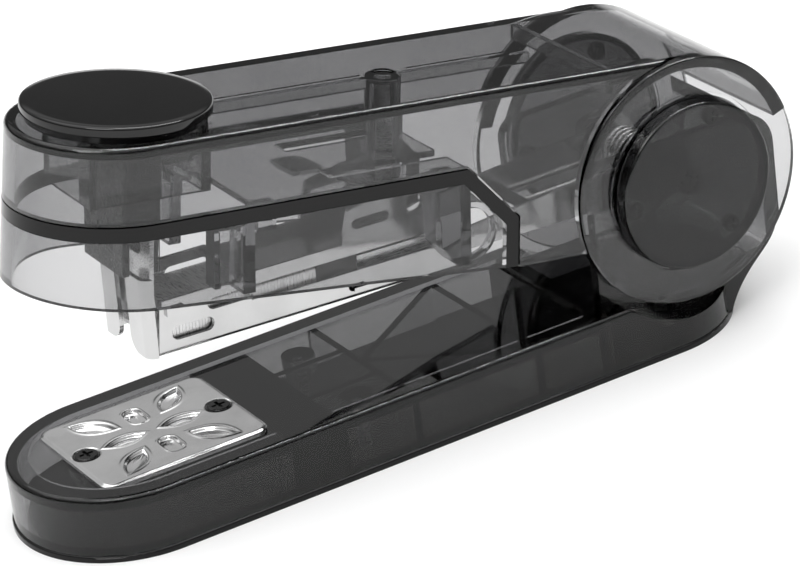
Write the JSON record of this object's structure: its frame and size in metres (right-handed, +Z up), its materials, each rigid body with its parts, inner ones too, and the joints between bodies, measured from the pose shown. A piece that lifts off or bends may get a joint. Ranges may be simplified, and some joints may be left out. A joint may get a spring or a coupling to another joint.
{
  "type": "desk stapler",
  "caption": "Compact desk stapler with smoky clear covers: a sprung head and staple magazine hinge over a base with a clinching anvil, between two large round hinge discs.",
  "frame": {"origin": "on the desk, under the middle of the overall length, on the middle line", "axes": "+Z up, the nose at -X, the hinge at +X, +Y to the far side"},
  "size_m": [0.1307, 0.0364, 0.0655],
  "materials": {
    "smoke_base": "polished, dark smoky transparent",
    "smoke_cover": "polished, smoky transparent",
    "smoke_clear": "polished, light smoky transparent",
    "black_gloss": "polished",
    "black_satin": "satin",
    "bright_steel": "polished",
    "steel": "satin",
    "spring_steel": "satin",
    "staple_zinc": "satin"
  },
  "bodies": {
    "base": {"base_tray": "smoke_base", "hinge_tower": "smoke_base", "foot_plate": "black_satin", "foot_screws": "steel", "anvil_plate": "bright_steel", "anvil_screws": "steel", "hinge_pin": "steel", "lift_spring": "spring_steel"},
    "head": {"top_cover": "smoke_cover", "lower_housing": "smoke_clear", "trim_band": "black_gloss", "right_hinge_disc": "smoke_cover", "left_hinge_disc": "smoke_cover", "right_hinge_cap": "black_gloss", "left_hinge_cap": "black_gloss", "cap_screws": "steel", "thumb_pad": "black_gloss", "pad_screw": "steel", "cover_screw": "steel", "driver_holder": "black_satin", "driver_blade": "steel", "drive_spring": "spring_steel"},
    "magazine": {"magazine_channel": "bright_steel", "magazine_nose": "bright_steel", "staple_cover": "bright_steel", "staple_rail": "steel", "guide_rod": "steel", "staple_strip": "staple_zinc"},
    "pusher": {"pusher": "black_satin", "pusher_spring": "spring_steel"}
  },
  "joints": [
    {"name": "head_hinge", "type": "hinge", "parent": "base", "child": "head", "pos_m": [0.04555, 0, 0.0267], "axis": [0, 1, 0], "range_deg": [-13.25, 30], "stiffness_Nm_per_rad": 0.3, "deforming": ["drive_spring"]},
    {"name": "magazine_hinge", "type": "hinge", "parent": "base", "child": "magazine", "pos_m": [0.04555, 0, 0.0267], "axis": [0, 1, 0], "range_deg": [-9.3, 21.1], "deforming": ["lift_spring"]},
    {"name": "pusher_slide", "type": "slide", "parent": "magazine", "child": "pusher", "axis": [0.9983, 0, -0.0576], "range_m": [0, 0.012], "stiffness_N_per_m": 40, "springref_m": -0.02, "deforming": ["pusher_spring"]}
  ],
  "couplings": [
    {"joint": "magazine_hinge", "follows": "head_hinge", "ratio": 0.7}
  ]
}
